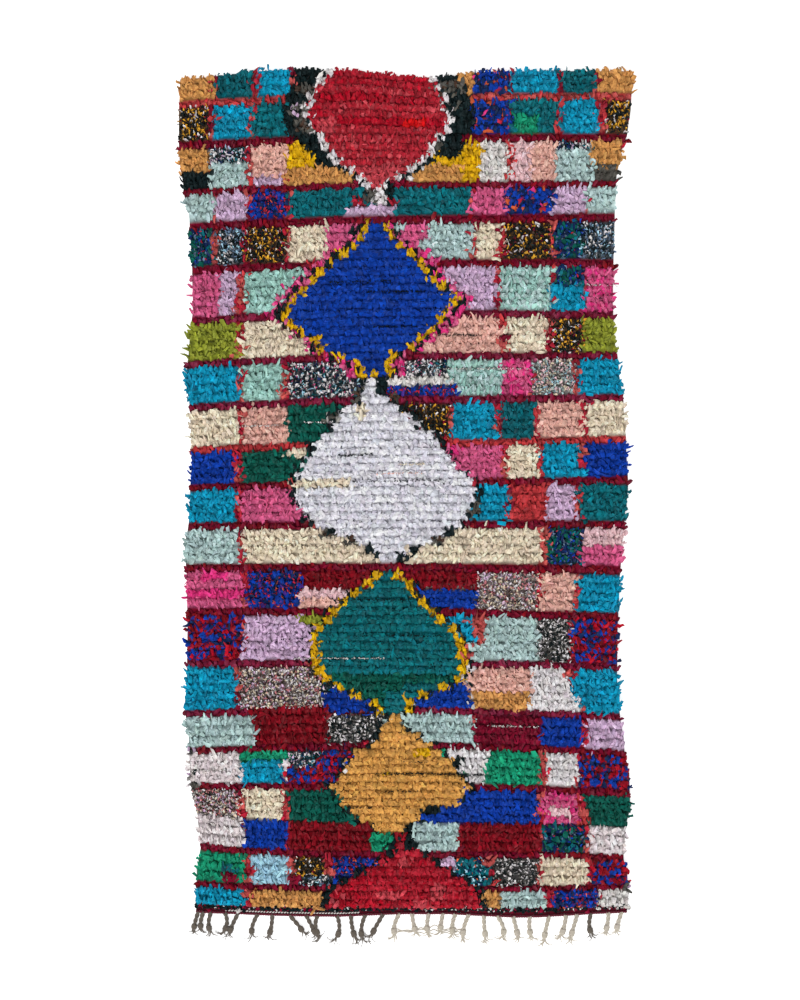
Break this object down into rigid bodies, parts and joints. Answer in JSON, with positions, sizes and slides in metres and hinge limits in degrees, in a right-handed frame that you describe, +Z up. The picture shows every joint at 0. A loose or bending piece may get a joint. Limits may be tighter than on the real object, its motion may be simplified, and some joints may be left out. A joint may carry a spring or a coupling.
{
  "type": "boucherouite rug",
  "caption": "Shaggy knotted rag rug lying flat, an uneven oblong with a short flat-woven end and a tasselled warp fringe along its near edge.",
  "frame": {"origin": "on the floor, under the middle of the whole rug with its fringe", "axes": "+X across the rug to the right as seen from its fringe, +Y along it from the fringe to the plain end, +Z up out of the pile"},
  "size_m": [1.396, 2.638, 0.0343],
  "materials": {
    "pile_cloth": "shaggy pile of cut jersey strips in many colours, matte",
    "dark_warp": "twisted warp yarn, grey-brown, matte",
    "pale_warp": "twisted warp yarn, undyed, matte"
  },
  "bodies": {
    "root": {"pile_rug": "pile_cloth", "fringe_dark": "dark_warp", "fringe_pale": "pale_warp"}
  },
  "joints": []
}
